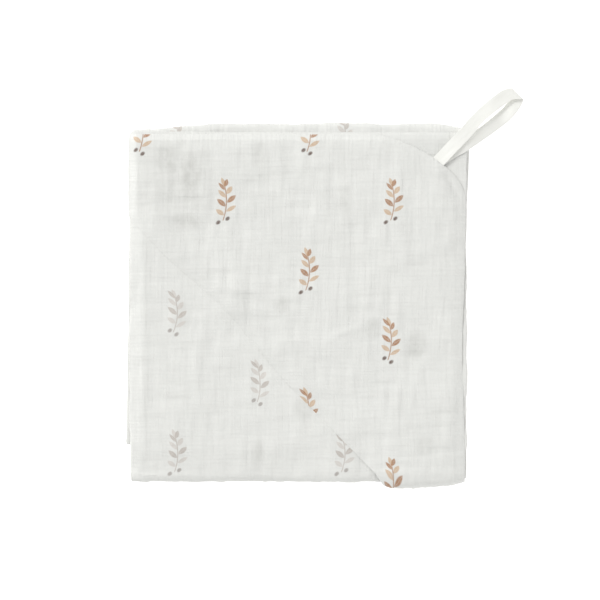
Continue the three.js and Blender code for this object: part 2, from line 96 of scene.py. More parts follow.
# How the strip wanders across the packet, a row for each place along it: the x of the outer panel's free
# edge, of the outsides of the left and right folds, and of the inner panel's free edge.
STRIP_PLACES = table(
    "along free_edge left_fold right_fold inner_edge",
    (0, 125.4, -124.5, 126.6, -116.0),
    (FRONT_STRIP * 0.3, 125.2, -124.9, 125.8, -116.0),
    (FRONT_STRIP * 0.6, 122.8, -125.2, 126.2, -116.0),
    (BOTTOM_BEND_START, 124.6, -124.9, 126.0, -115.5),
    (BOTTOM_BEND_END, 124.6, -124.9, 126.2, -115.5),
    (BACK_MIDDLE, 122.8, -124.4, 125.0, -115.0),
    (TOP_BEND_START, 125.6, -124.0, 128.4, -114.0),
    (TOP_BEND_END, 125.4, -124.2, 128.2, -114.0),
    (TUCKED_MIDDLE, 121.4, -126.2, 124.0, -117.5),
    (CLOTH_ALONG, 118.0, -127.8, 121.0, -120.5),
)

# Where the lines that run across the packet lie along it, and how the two folds draw in towards the
# packet's corners: a side, the distances from the middle between which it happens, and how far.
FRONT_HEM_Y = 125.4
BOTTOM_FOLD_Y = -133.6
TOP_FOLD_Y = 133.8
TUCKED_HEM_Y = -106
TOP_DRAW_IN = [dict(side=-1, start=50, end=126, by=4.2), dict(side=1, start=98, end=130, by=3.2)]
BOTTOM_DRAW_IN = [dict(side=1, start=80, end=124, by=0.8)]

# The hood panel: its two short sides, its long hem's inward bow, and the corners that are rounded off.
HOOD_ACROSS = 310
HOOD_ALONG = 322
HEM_BOW = 4.5
HEM_BOW_PLACE = 0.57
HEM_BOW_REACH = 0.17
HOOD_CORNER = dict(across=74, along=48, power=1.66)
PLAIN_CORNER = dict(across=60, along=60, power=2)

# The hood's distance above the towel's cloth: over the towel, at the bottom fold and where the ribbon enters.
HOOD_OFFSET = PITCH + 0.1
HOOD_PUFF = dict(across=50, reach=50, height=3.9, spread=20)
HOOD_LIFT = dict(across=18, along=25, reach=9, height=2.1)

# The hood's tip lifts the cloth under the packet, and under the front strip.
FLOOR_TIP = dict(x=123, y=-133, reach_x=76, reach_y=66)
TUCKED_TIP = dict(x=-123, y=130, reach_x=84, reach_y=88)
TIP_FALLOFF = 60

# Soft relief that the solids have too: the crown, the dip below the tucked hem, and broad swells.
CROWN = dict(share=0.07, power=4)
HALF_WIDTH = 125
HALF_LENGTH = 133
SWELL_FADE = 20
DIP = dict(start=-104, end=-126, depth=2.2)
TOP_SWELLS = table(
    "x y reach height",
    (-52, 8, 26, 0.9),
    (34, -22, 24, 0.9),
    (78, 58, 34, 0.7),
    (100, -70, 24, 0.8),
    (-78, -72, 36, 0.6),
    (-70, 98, 26, 0.6),
)

# Finer relief, only here. Towards the left, right and top edges the whole packet rolls down by a share of its
# height. The left edge's roll is narrower above the hood's hem.
EDGE_ROLLS = table(
    "way edge width upper_width drop power",
    ((-1, 0), 124.5, 9.5, 5.0, 0.32, 1.2),
    ((1, 0), 125.0, 14.0, 14.0, 0.12, 1.3),
    ((0, 1), 133.8, 10.0, 10.0, 0.30, 1.2),
)
UPPER_FROM = dict(start=52, end=68)

# Free edges lie flat on what is below them: the reach from the edge, and the share of its height that the
# cloth keeps there. So does the front strip round a place near the ribbon. At the hood's hem both its
# distance above the towel's cloth and its share of the crinkle are small.
HEM_PRESS = dict(reach=5, share=0.52)
EDGE_PRESS = dict(reach=12, share=0.75)
CORNER_PRESS = dict(x=113, along=18, reach=22, share=0.55)
HOOD_PRESS = dict(reach=9, offset=0.56, crinkle=0.3)

# The front strip's layers end one behind the other at its hem, the lowest one furthest out.
HEM_STAGGER = dict(reach=50, by=1.7)

# Creases of the cloth on top, each from one point to another in the packet: bow is how far its middle is
# pushed to the left of that way, half is its half width, and height is below nought for a trough. Each fades
# out over a share of its length at either end.
CREASE_FADE = 0.3
CREASES = table(
    "start end bow half height",
    ((-115, 60), (-115, -130), 0.0, 3.2, 0.50),
    ((-67, 9), (-24, 5), 3.5, 3.0, 0.80),
    ((-60, 3), (-14, -4), 3.0, 4.0, -0.50),
    ((18, -30), (57, -16), 2.0, 3.0, 0.80),
    ((-122, 73), (-68, 71), 1.0, 5.5, -0.45),
    ((80, -56), (79, -108), 1.5, 4.5, -0.40),
    ((108, -33), (107, -124), -1.5, 3.6, -0.45),
    ((72, -60), (73, -112), 0.0, 3.0, 0.35),
    ((95, -52), (94, -118), 1.0, 4.5, 0.40),
    ((117, -40), (116, -122), 0.0, 2.6, 0.40),
    ((112, 48), (110, -16), 1.0, 3.0, -0.40),
    ((50, -117), (96, -116), -1.0, 2.2, 0.70),
    ((52, -122), (98, -121), -1.0, 3.0, -0.35),
    ((50, -109), (51, -121), 0.5, 1.4, -0.45),
    ((-34, -104), (-35, -133), 0.4, 1.2, 0.45),
    ((70, -119), (70, -134), 0.3, 1.1, 0.40),
    ((-113, -115), (-115, -132), 0.5, 2.6, -0.60),
    ((-40, 100), (20, 92), 3.0, 6.0, 0.25),
    ((-100, 40), (-50, 52), -3.0, 6.0, 0.22),
    ((60, 100), (96, 70), 3.0, 7.0, 0.25),
    ((-90, -30), (-60, -80), 4.0, 7.0, 0.22),
    ((107, 102), (122, 72), 0.5, 3.0, -1.3),
)

# Soft ripples of the cloth on top that run up and across it: their sizes either way, and the most each adds.
RIPPLES = table("x y height", (7, 24, 0.32), (26, 8, 0.28), (15, 42, 0.60), (42, 17, 0.50))

# The gauze's crinkle: soft wrinkles, small puckers between the tacks that join its two layers, and a grain
# of short creases that run both ways. A height is the most that each adds. The puckers' places wander, and
# they are stronger in some patches than in others.
WRINKLE = dict(size=26, height=0.45)
PUCKER = dict(pitch=5.2, power=0.6, height=0.24, wander=1.4, wander_size=13, patchiness=0.35, patch_size=17)
GRAINS = table("short long height", (2.7, 14.0, 0.16), (5.5, 18.0, 0.44))
WARP_SHARE = 1.2
WEFT_SHARE = 1.0

# The towel's share of the crinkle, how far it lies below the cloth's middle, the share that is taken off
# where it doesn't show, and the distances inside the hood's outline between which it fades out.
TOWEL_CRINKLE = dict(share=0.8, sink=0.1, taken_off=0.85, fade_start=-5, fade_end=1)

# A hem's double cloth and its seam, the rounding of every edge, and the small wander of the folds and edges.
HEM = dict(width=3.4, fade=1.8, height=0.35, seam=2.4, groove=1.1, groove_depth=0.12)
EDGE_ROUNDING = dict(reach=2.2, share=0.2)
WANDER = dict(size=15, height=0.35)

# The noise's first seed in each part, and the odd numbers that scatter a place and a seed over 32 bits.
SEEDS = dict(bottom_fold=11, top_fold=12, wrinkle=21, towel=31, hood=41, ripple=51)
COLUMN_MIX, ROW_MIX, SEED_MIX, LAST_MIX = 374761393, 668265263, 974634777, 1274126177
LOW_32_BITS = 0xFFFFFFFF

# The ribbon loop leaves the rounded corner at 45 degrees. A row for each section of the ribbon, from its
# upper end to its lower end: out, along the diagonal from the packet's middle; side, to the upper left of
# that diagonal; up; half, half the width; tilt, by which the upper left edge is raised, in degrees. The
# ribbon's two long edges are thinner than its middle and curl up by its cup.
RIBBON = dict(thickness=0.55, edge_share=0.5, cup=0.25, flat_width=10, flat_half=4.5)
RIBBON_STATIONS = 170
RIBBON_POINTS = 13
LOOP_SECTIONS = table(
    "out side up half tilt",
    (142.5, 0.0, 12.6, 4.8, -2),
    (150.0, 0.1, 12.5, 4.8, -3),
    (162.0, 0.5, 12.8, 4.8, -6),
    (176.0, 0.8, 12.5, 4.9, 7),
    (190.0, 1.7, 11.4, 4.8, 0),
    (201.5, 1.4, 10.0, 4.9, -7),
    (212.5, 0.2, 8.0, 5.1, 8),
    (220.3, -1.3, 6.4, 5.1, 6),
    (224.9, -4.6, 5.3, 5.7, 4),
    (226.3, -6.0, 4.0, 6.0, 0),
    (224.9, -7.4, 2.8, 5.7, 0),
    (220.3, -9.5, 3.2, 5.2, 2),
    (212.0, -10.7, 4.4, 5.1, -6),
    (201.0, -10.1, 5.6, 5.1, 13),
    (190.5, -8.8, 7.2, 5.1, 20),
    (179.0, -6.9, 9.1, 4.9, 20),
    (168.0, -4.7, 10.9, 4.6, 8),
    (158.0, -2.0, 11.1, 4.5, 2),
    (150.0, -0.4, 11.8, 4.5, 0),
    (142.5, 0.0, 12.0, 4.5, 0),
)

# Smooth shading stops at an edge that is sharper than this.
SHARP_ANGLE = math.radians(50)

# How finely the sheets are cut: the fine cells where the gauze shows, the coarse ones under the hood, and the
# numbers of cells round each bend, in a hidden panel's end beside a bend and in that panel's middle.
TOWEL_FINE = 1.45
HOOD_FINE = 1.35
TOWEL_COVERED = 52, 62
HOOD_COVERED = 0, 0
ACROSS_CUT = dict(covered_cell=5, bend_cells=(9, 6))
ALONG_CUT = dict(covered_cell=4, bend_cells=(14, 10))
END_ZONE = 16
END_CELLS = 6
MIDDLE_CELLS = 12


def srgb(red, green, blue):
    """A linear colour from a colour as a screen shows it, 0 to 255."""
    channels = [channel / 255 for channel in (red, green, blue)]
    return tuple(((c + 0.055) / 1.055) ** 2.4 if c > 0.04045 else c / 12.92 for c in channels) + (1.0,)


def clamp01(value):
    return np.clip(value, 0.0, 1.0)


def smooth_step(value):
    share = clamp01(value)
    return share * share * (3 - 2 * share)


def share_between(value, start, end):
    return clamp01((value - start) / (end - start))


def smooth_between(value, start, end):
    return smooth_step((value - start) / (end - start))


def bell(distance, reach):
    return np.exp(-((distance / reach) ** 2))


def smooth_column(rows, positions, column, place):
    """A column of a table at places between its rows, on a smooth curve through them."""
    values = np.array([row[column] for row in rows], float)
    positions = np.array(positions, float)
    last = len(rows) - 1
    row = np.searchsorted(positions[1:last], place, side="left")
    before = np.maximum(np.arange(last + 1) - 1, 0)
    after = np.minimum(np.arange(last + 1) + 1, last)
    slope = (values[after] - values[before]) / (positions[after] - positions[before])
    span = positions[row + 1] - positions[row]
    t = clamp01((place - positions[row]) / span)
    start = (1 + 2 * t) * (1 - t) ** 2 * values[row] + t * (1 - t) ** 2 * span * slope[row]
    end = t ** 2 * (3 - 2 * t) * values[row + 1] - t ** 2 * (1 - t) * span * slope[row + 1]
    return start + end


def lattice(column, row, seed):
    """A repeatable number from -1 to 1 for each place of a whole-number lattice."""
    mixed = column.astype(np.int64) * COLUMN_MIX + row.astype(np.int64) * ROW_MIX + seed * SEED_MIX
    mixed = mixed & LOW_32_BITS
    mixed = ((mixed ^ (mixed >> 13)) * LAST_MIX) & LOW_32_BITS
    return ((mixed ^ (mixed >> 16)) & 0xFFFF) / (0xFFFF / 2) - 1


def noise(x, y, seed):
    """Smooth noise from -1 to 1 with one bump to a unit."""
    column, row = np.floor(x), np.floor(y)
    right, up = smooth_step(x - column), smooth_step(y - row)
    low = lattice(column, row, seed) * (1 - right) + lattice(column + 1, row, seed) * right
    high = lattice(column, row + 1, seed) * (1 - right) + lattice(column + 1, row + 1, seed) * right
    return low * (1 - up) + high * up


def strip_line(column, along):
    """The x of one of the strip's lines at a flat distance along, with a small wander of its own."""
    positions = [place["along"] for place in STRIP_PLACES]
    seed = list(STRIP_PLACES[0]).index(column)
    return smooth_column(STRIP_PLACES, positions, column, along) + wander(along, seed)


def bend_point(centre, height, radius, start_angle, share):
    """Rows of a half circle's points and of its outward directions: level, up, level part, upward part."""
    angle = start_angle + math.pi * share
    out_level, out_up = np.cos(angle), np.sin(angle)
    return np.stack([centre + radius * out_level, height + radius * out_up, out_level, out_up])


def flat_point(level, height, facing):
    """The same rows for a flat stretch, whose outer face looks up (1) or down (-1)."""
    flat = np.zeros_like(level)
    return np.stack([level, flat + height, flat, flat + facing])


def folded_in_three(place, ends, levels, base, radii):
    """The same rows for a strip folded in three, whose middle panel lies at the base.

    ends are the places where each panel and bend ends. levels are those of the first free edge, the two
    bends' centres and the last free edge.
    """
    first, left, right, last = levels
    outer = first + (left - first) * share_between(place, 0, ends[0])
    middle = left + (right - left) * share_between(place, ends[1], ends[2])
    inner = right + (last - right) * share_between(place, ends[3], ends[4])
    left_share = share_between(place, ends[0], ends[1])
    right_share = share_between(place, ends[2], ends[3])
    stretches = [
        (place <= ends[0], flat_point(outer, base + 2 * radii[0], 1)),
        (place < ends[1], bend_point(left, base + radii[0], radii[0], math.pi / 2, left_share)),
        (place <= ends[2], flat_point(middle, base, -1)),
        (place < ends[3], bend_point(right, base + radii[1], radii[1], -math.pi / 2, right_share)),
    ]
    tucked = flat_point(inner, base + 2 * radii[1], 1)
    return np.select([where for where, _ in stretches], [rows for _, rows in stretches], tucked)


def section_point(across, along):
    """The first fold: where a flat distance across lies in the strip's section, and its outer face's side."""
    levels = [
        strip_line("free_edge", along),
        strip_line("left_fold", along) + LEFT_BEND_RADIUS + GAUZE / 2,
        strip_line("right_fold", along) - RIGHT_BEND_RADIUS - GAUZE / 2,
        strip_line("inner_edge", along),
    ]
    return folded_in_three(across, ACROSS_ENDS, levels, 0, (LEFT_BEND_RADIUS, RIGHT_BEND_RADIUS))


def drawn_in(rows, x):
    """How far a fold that runs across the packet is drawn in at an x."""
    return sum(row["by"] * smooth_between(x * row["side"], row["start"], row["end"]) for row in rows)


def wander(place, seed):
    """The small wander of a fold or a free edge at places along it."""
    return WANDER["height"] * noise(place / WANDER["size"], place * 0, seed)


def strip_point(along, x):
    """The second fold: the strip's middle line at a flat distance along, and its outer side."""
    bottom_edge = BOTTOM_FOLD_Y + drawn_in(BOTTOM_DRAW_IN, x) + wander(x, SEEDS["bottom_fold"])
    top_edge = TOP_FOLD_Y - drawn_in(TOP_DRAW_IN, x) + wander(x, SEEDS["top_fold"])
    levels = [
        FRONT_HEM_Y,
        bottom_edge + BOTTOM_BEND_RADIUS + STRIP_SKIN,
        top_edge - TOP_BEND_RADIUS - STRIP_SKIN,
        TUCKED_HEM_Y,
    ]
    return folded_in_three(along, ALONG_ENDS, levels, BACK_HEIGHT, (BOTTOM_BEND_RADIUS, TOP_BEND_RADIUS))


def tip_lift(tip, x, y):
    """The lift over a hood tip: the hood's offset over the tip, falling off softly past its long side."""
    from_corner = abs(x - tip["x"]) / tip["reach_x"] + abs(y - tip["y"]) / tip["reach_y"]
    past = (from_corner - 1) * min(tip["reach_x"], tip["reach_y"])
    return HOOD_OFFSET * (1 - smooth_step(past / TIP_FALLOFF))


def top_swell(x, y):
    """The broad swells of the top layer, which fade out towards the packet's edges."""
    fade = smooth_step((HALF_WIDTH - abs(x)) / SWELL_FADE) * smooth_step((HALF_LENGTH - abs(y)) / SWELL_FADE)
    return fade * sum(s["height"] * bell(np.hypot(x - s["x"], y - s["y"]), s["reach"]) for s in TOP_SWELLS)


def packet_height(x, y):
    """The share of its height that the packet has at a place: its crown, rolled sides and soft wrinkles."""
    crown_x = 1 - np.minimum(1, (x / HALF_WIDTH) ** CROWN["power"])
    crown_y = 1 - np.minimum(1, (y / HALF_LENGTH) ** CROWN["power"])
    share = 1 + CROWN["share"] * (crown_x * crown_y)
    upper = smooth_between(y, UPPER_FROM["start"], UPPER_FROM["end"])
    for roll in EDGE_ROLLS:
        width = roll["width"] + (roll["upper_width"] - roll["width"]) * upper
        from_edge = clamp01((roll["edge"] - x * roll["way"][0] - y * roll["way"][1]) / width)
        share = share * (1 - roll["drop"] * (1 - from_edge) ** roll["power"])
    wrinkle = noise(x / WRINKLE["size"], y / WRINKLE["size"], SEEDS["wrinkle"])
    return share + WRINKLE["height"] / TOP_HEIGHT * wrinkle


def crease_relief(x, y):
    """The listed creases, as soft troughs and ridges of the cloth on top."""
    total = np.zeros_like(x)
    for crease in CREASES:
        (start_x, start_y), (end_x, end_y) = crease["start"], crease["end"]
        length = math.hypot(end_x - start_x, end_y - start_y)
        way_x, way_y = (end_x - start_x) / length, (end_y - start_y) / length
        share = ((x - start_x) * way_x + (y - start_y) * way_y) / length
        beside = (y - start_y) * way_x - (x - start_x) * way_y
        beside = beside - crease["bow"] * 4 * share * (1 - share)
        fade = smooth_step(share / CREASE_FADE) * smooth_step((1 - share) / CREASE_FADE)
        total += crease["height"] * fade * bell(beside, crease["half"])
    for place, ripple in enumerate(RIPPLES):
        total += ripple["height"] * noise(x / ripple["x"], y / ripple["y"], SEEDS["ripple"] + place)
    return total


def crinkle(across, along, seed):
    """The gauze's own crinkle, which goes with the cloth wherever it is folded."""
    pitch, wander_size, patch_size = PUCKER["pitch"], PUCKER["wander_size"], PUCKER["patch_size"]
    wander_share = PUCKER["wander"] / pitch
    puffed_across = across / pitch + wander_share * noise(across / wander_size, along / wander_size, seed)
    puffed_along = along / pitch + wander_share * noise(across / wander_size, along / wander_size, seed + 1)
    pucker = np.abs(np.sin(math.pi * puffed_across) * np.sin(math.pi * puffed_along)) ** PUCKER["power"]
    patches = PUCKER["patchiness"] * noise(across / patch_size, along / patch_size, seed + 2)
    total = PUCKER["height"] * (1 - PUCKER["patchiness"] + patches) * pucker
    for place, grain in enumerate(GRAINS):
        warp = noise(across / grain["short"], along / grain["long"], seed + 3 + 2 * place)
        weft = noise(across / grain["long"], along / grain["short"], seed + 4 + 2 * place)
        total = total + grain["height"] * (WARP_SHARE * warp + WEFT_SHARE * weft)
    return total


def pressed(from_edge, press):
    """The share of its height that cloth has near a free edge that lies flat."""
    return press["share"] + (1 - press["share"]) * smooth_step(from_edge / press["reach"])


def fold(across, along, offset):
    """The folding map: flat distances and an offset towards the outer face, to a place in the packet."""
    section_x, section_h, out_x, out_h = section_point(across, along)
    x = section_x + offset * out_x
    h = section_h * pressed(across, EDGE_PRESS) + offset * out_h
    strip_y, strip_z, out_y, out_z = strip_point(along, x)
    y = strip_y + h * out_y
    z = strip_z + h * out_z
    in_front = along <= BOTTOM_BEND_START
    behind = 1 - smooth_step(along / HEM_STAGGER["reach"])
    y = y + in_front * HEM_STAGGER["by"] * behind * (1 - h / (2 * PITCH))
    tucked_top = TUCKED_HEIGHT + STRIP_SKIN
    from_corner = np.hypot(x - CORNER_PRESS["x"], along - CORNER_PRESS["along"])
    at_corner = 1 - (1 - CORNER_PRESS["share"]) * bell(from_corner, CORNER_PRESS["reach"])
    z = np.where(in_front, tucked_top + (z - tucked_top) * pressed(along, HEM_PRESS) * at_corner, z)
    on_top = smooth_step((h - PITCH - CLOTH / 2) / AIR)
    z = z + in_front * (tip_lift(TUCKED_TIP, x, y) + (top_swell(x, y) + crease_relief(x, y)) * on_top)
    above_back = clamp01((z - BACK_HEIGHT - CLOTH / 2) / (FRONT_HEIGHT - BACK_HEIGHT - CLOTH))
    z = z - DIP["depth"] * smooth_between(y, DIP["start"], DIP["end"]) * above_back
    z = z + tip_lift(FLOOR_TIP, x, y)
    return np.stack([x, y, np.maximum(z * packet_height(x, y), 0)], axis=-1)


def inside_corner(corner, across, along):
    """Signed distance inside a superellipse corner at the flat origin, and well inside past its rounding."""
    power = corner["power"]
    share_across = clamp01((corner["across"] - across) / corner["across"])
    share_along = clamp01((corner["along"] - along) / corner["along"])
    radius = (share_across ** power + share_along ** power) ** (1 / power)
    distance = (1 - radius) * min(corner["across"], corner["along"])
    return np.where((across >= corner["across"]) | (along >= corner["along"]), CLOTH_ALONG, distance)


def inside_towel(across, along):
    """Signed distance inside the flat towel's outline."""
    far_across, far_along = CLOTH_ACROSS - across, CLOTH_ALONG - along
    return np.minimum.reduce([
        inside_corner(HOOD_CORNER, across, along),
        inside_corner(PLAIN_CORNER, far_across, along),
        inside_corner(PLAIN_CORNER, across, far_along),
        inside_corner(PLAIN_CORNER, far_across, far_along),
    ])


def long_hem(across, along):
    """Distance from the hood's long hem."""
    bow_share = clamp01(abs(across / HOOD_ACROSS - HEM_BOW_PLACE) / HEM_BOW_REACH)
    bow = HEM_BOW * (1 + np.cos(math.pi * bow_share)) / 2
    steepness = math.hypot(1 / HOOD_ACROSS, 1 / HOOD_ALONG)
    return (1 - across / HOOD_ACROSS - along / HOOD_ALONG) / steepness - bow


def inside_hood(across, along):
    """Signed distance inside the flat hood's outline."""
    return np.minimum(long_hem(across, along), inside_corner(HOOD_CORNER, across, along))


def slopes(inside, across, along, step):
    """How steeply a signed distance rises across and along, measured over a small step either way."""
    slope_across = (inside(across + step, along) - inside(across - step, along)) / (2 * step)
    slope_along = (inside(across, along + step) - inside(across, along - step)) / (2 * step)
    return slope_across, slope_along


def edge_distance(inside, across, along):
    """Distance from a sheet's nearest edge, with a rounded corner's measure evened out by its steepness."""
    least, most = 0.4, 1.5
    steepness = np.clip(np.hypot(*slopes(inside, across, along, step=0.01)), least, most)
    straight = np.minimum.reduce([across, along, CLOTH_ACROSS - across, CLOTH_ALONG - along])
    return np.minimum(inside(across, along) / steepness, straight)


def hem_relief(distance):
    """A hem's double cloth, with a groove where it is sewn."""
    band = 1 - smooth_step((distance - HEM["width"]) / HEM["fade"])
    groove = bell(distance - HEM["seam"], HEM["groove"])
    return HEM["height"] * band - HEM["groove_depth"] * groove


def hidden_share(across, along):
    """How far a place lies inside the panels that other layers cover: 0 in the folds and the shown panel."""
    from_right_fold = np.maximum(RIGHT_BEND_START - across, across - RIGHT_BEND_END)
    from_top_fold = np.maximum(TOP_BEND_START - along, along - TOP_BEND_END)
    from_folds_across = np.minimum(across - LEFT_BEND_END, from_right_fold)
    from_folds_along = np.minimum(along - BOTTOM_BEND_END, from_top_fold)
    return smooth_step(np.maximum(from_folds_across, from_folds_along) / END_ZONE)


def towel_offset(across, along):
    """The towel's crinkle, which is left out under the hood and is faint in the panels that don't show."""
    inside = inside_hood(across, along)
    shown = 1 - smooth_between(inside, TOWEL_CRINKLE["fade_start"], TOWEL_CRINKLE["fade_end"])
    front = (along <= BOTTOM_BEND_END) & (across <= LEFT_BEND_END)
    strength = np.where(front, shown, 1) * (1 - TOWEL_CRINKLE["taken_off"] * hidden_share(across, along))
    return crinkle(across, along, SEEDS["towel"]) * strength * TOWEL_CRINKLE["share"] - TOWEL_CRINKLE["sink"]


def hood_offset(across, along):
    """The hood's distance from the middle of the towel's cloth, with its crinkle."""
    bend_middle = (BOTTOM_BEND_START + BOTTOM_BEND_END) / 2
    above_floor = 1 - smooth_between(along, bend_middle, BOTTOM_BEND_END)
    puff = HOOD_PUFF["height"] * above_floor * bell(across - HOOD_PUFF["across"], HOOD_PUFF["reach"])
    puff = puff * bell(along - bend_middle, HOOD_PUFF["spread"])
    from_ribbon = np.hypot(across - HOOD_LIFT["across"], along - HOOD_LIFT["along"])
    lift = HOOD_LIFT["height"] * bell(from_ribbon, HOOD_LIFT["reach"])
    from_hem = smooth_step(edge_distance(inside_hood, across, along) / HOOD_PRESS["reach"])
    snug = HOOD_PRESS["offset"] + (HOOD_OFFSET - HOOD_PRESS["offset"]) * from_hem
    crinkle_share = HOOD_PRESS["crinkle"] + (1 - HOOD_PRESS["crinkle"]) * from_hem
    loose = crinkle(across, along, SEEDS["hood"]) * above_floor * crinkle_share
    return snug + puff + lift + loose


def grid_lines(stretches):
    """Grid lines from a list of (length, cells) stretches."""
    lines = [0.0]
    for length, cells in stretches:
        lines.extend(lines[-1] + length * np.arange(1, cells + 1) / cells)
    return np.array(lines)


def hidden_panel(length):
    """Stretches of a panel that hardly shows: finer at its two ends, where the packet's sides roll down."""
    return [(END_ZONE, END_CELLS), (length - 2 * END_ZONE, MIDDLE_CELLS), (END_ZONE, END_CELLS)]


def fold_lines(panels, bends, covered, cut, fine):
    """Grid lines over three panels and two bends: fine in the first panel, where the cloth shows."""
    stretches = [(covered, round(covered / cut["covered_cell"]))] if covered else []
    shown = panels[0] - covered
    stretches += [(shown, round(shown / fine)), (bends[0], cut["bend_cells"][0])]
    stretches += hidden_panel(panels[1]) + [(bends[1], cut["bend_cells"][1])] + hidden_panel(panels[2])
    return grid_lines(stretches)


def sheet_lines(covered, fine):
    """A sheet's grid lines both ways; covered says how far from its corner the hood hides it, either way."""
    panels = OUTER_PANEL, BOTTOM_PANEL, INNER_PANEL
    strips = FRONT_STRIP, BACK_STRIP, TUCKED_STRIP
    bends_across = LEFT_BEND_END - LEFT_BEND_START, RIGHT_BEND_END - RIGHT_BEND_START
    bends_along = BOTTOM_BEND_END - BOTTOM_BEND_START, TOP_BEND_END - TOP_BEND_START
    lines_across = fold_lines(panels, bends_across, covered[0], ACROSS_CUT, fine)
    return lines_across, fold_lines(strips, bends_along, covered[1], ALONG_CUT, fine)


def snapped(across, along, reach, inside, ends):
    """Flat points, moved onto the outline where they are very near it, but not past the grid's own edges."""
    close_enough = 1e-6
    too_level = 1e-2
    rounds = 4
    for _ in range(rounds):
        value = inside(across, along)
        slope_across, slope_along = slopes(inside, across, along, step=1e-3)
        steepness = slope_across ** 2 + slope_along ** 2
        near = (abs(value) <= reach) & (abs(value) >= close_enough) & (steepness > too_level)
        share = np.where(near, value / np.maximum(steepness, too_level), 0)
        across = np.clip(across - share * slope_across, 0, ends[0])
        along = np.clip(along - share * slope_along, 0, ends[1])
    return across, along


def crossings(inner, outer, inside):
    """The places between inner and outer flat points where the outline passes, by halving."""
    low, high = np.zeros(len(inner)), np.ones(len(inner))
    halvings = 24
    for _ in range(halvings):
        middle = (low + high) / 2
        point = inner + (outer - inner) * middle[:, None]
        is_inside = inside(point[:, 0], point[:, 1]) > 0
        low = np.where(is_inside, middle, low)
        high = np.where(is_inside, high, middle)
    return inner + (outer - inner) * low[:, None]


def smaller_gap(lines):
    """The smaller of the two gaps beside each line."""
    far = 1e9
    return np.minimum(np.diff(lines, prepend=-far), np.diff(lines, append=far))


def trimmed_grid(lines_across, lines_along, inside):
    """A flat grid cut to an outline: its points, and its faces as lists of points."""
    columns = len(lines_along)
    across, along = np.meshgrid(lines_across, lines_along, indexing="ij")
    reach = np.minimum.outer(smaller_gap(lines_across), smaller_gap(lines_along)).ravel() / 4
    ends = lines_across[-1], lines_along[-1]
    across, along = snapped(across.ravel(), along.ravel(), reach, inside, ends)
    value = inside(across, along)
    on_outline = abs(value) < 1e-5
    value[on_outline] = 0

    first = (np.arange(len(lines_across) - 1)[:, None] * columns + np.arange(columns - 1)).ravel()
    cells = np.stack([first, first + columns, first + columns + 1, first + 1], axis=1)
    middle_value = inside(across[cells].mean(1), along[cells].mean(1))
    whole = (value[cells] >= 0).all(1) & (middle_value > 0)
    cut = ~(value[cells] >= 0).all(1) & (value[cells] > 0).any(1)

    cut_cells = cells[cut]
    sides = np.concatenate([np.stack([cut_cells[:, k], cut_cells[:, (k + 1) % 4]], 1) for k in range(4)])
    sides = sides[value[sides[:, 0]] * value[sides[:, 1]] < 0]
    sides = np.unique(np.sort(sides, axis=1), axis=0)
    points = np.stack([across, along], axis=1)
    start, end = sides.T
    start_is_inside = (value[start] > 0)[:, None]
    inner = np.where(start_is_inside, points[start], points[end])
    outer = np.where(start_is_inside, points[end], points[start])
    crossing_of = {tuple(side): len(points) + n for n, side in enumerate(sides.tolist())}
    points = np.concatenate([points, crossings(inner, outer, inside)])

    faces = cells[whole].tolist()
    for cell in cut_cells.tolist():
        face = []
        for k, corner in enumerate(cell):
            following = cell[(k + 1) % 4]
            if value[corner] >= 0:
                face.append(corner)
            if value[corner] * value[following] < 0:
                face.append(crossing_of[min(corner, following), max(corner, following)])
        if len(face) > 2:
            faces.append(face)
    return points, faces


def rim_of(faces):
    """The directed edges that only one face has."""
    edges = set()
    for face in faces:
        for start, end in zip(face, face[1:] + face[:1]):
            if (end, start) in edges:
                edges.remove((end, start))
            else:
                edges.add((start, end))
    return sorted(edges)


def new_mesh(name, points, faces, flat_of, materials, material_of):
    """A smooth mesh object from millimetre points, with the flat distances as its UV map."""
    mesh = bpy.data.meshes.new(name)
    mesh.from_pydata((points * METRES).tolist(), [], faces)
    for material in materials:
        mesh.materials.append(material)
    mesh.polygons.foreach_set("material_index", material_of)
    corner_points = np.empty(len(mesh.loops), np.int64)
    mesh.loops.foreach_get("vertex_index", corner_points)
    uv_map = mesh.uv_layers.new(name="flat")
    uv_map.data.foreach_set("uv", (flat_of[corner_points] * METRES).astype(np.float32).ravel())
    mesh.shade_smooth()
    mesh.update()
    mesh.set_sharp_from_angle(angle=SHARP_ANGLE)
    piece = bpy.data.objects.new(name, mesh)
    bpy.context.scene.collection.objects.link(piece)
    return piece


def make_sheet(name, lines, inside, offset_of, materials):
    """A closed sheet of gauze: an outer face, an inner face half a cloth either side, and a rim."""
    points, faces = trimmed_grid(*lines, inside)
    used = np.unique(np.concatenate([np.array(face) for face in faces]))
    place = np.full(len(points), -1)
    place[used] = np.arange(len(used))
    points = points[used]
    faces = [place[face].tolist() for face in faces]
    across, along = points[:, 0], points[:, 1]
    offset = offset_of(across, along)
    from_edge = edge_distance(inside, across, along)
    edge_share = EDGE_ROUNDING["share"]
    rounding = edge_share + (1 - edge_share) * smooth_step(from_edge / EDGE_ROUNDING["reach"])
    outer = fold(across, along, offset - GAUZE / 2 + (GAUZE + hem_relief(from_edge)) * rounding)
    inner = fold(across, along, offset - GAUZE / 2)
    count = len(points)
    inner_faces = [[corner + count for corner in reversed(face)] for face in faces]
    rim = [[end, start, start + count, end + count] for start, end in rim_of(faces)]
    material_of = [0] * len(faces) + [1] * len(inner_faces) + [0] * len(rim)
    both = np.concatenate([outer, inner])
    flat = np.concatenate([points, points])
    return new_mesh(name, both, faces + inner_faces + rim, flat, materials, material_of)


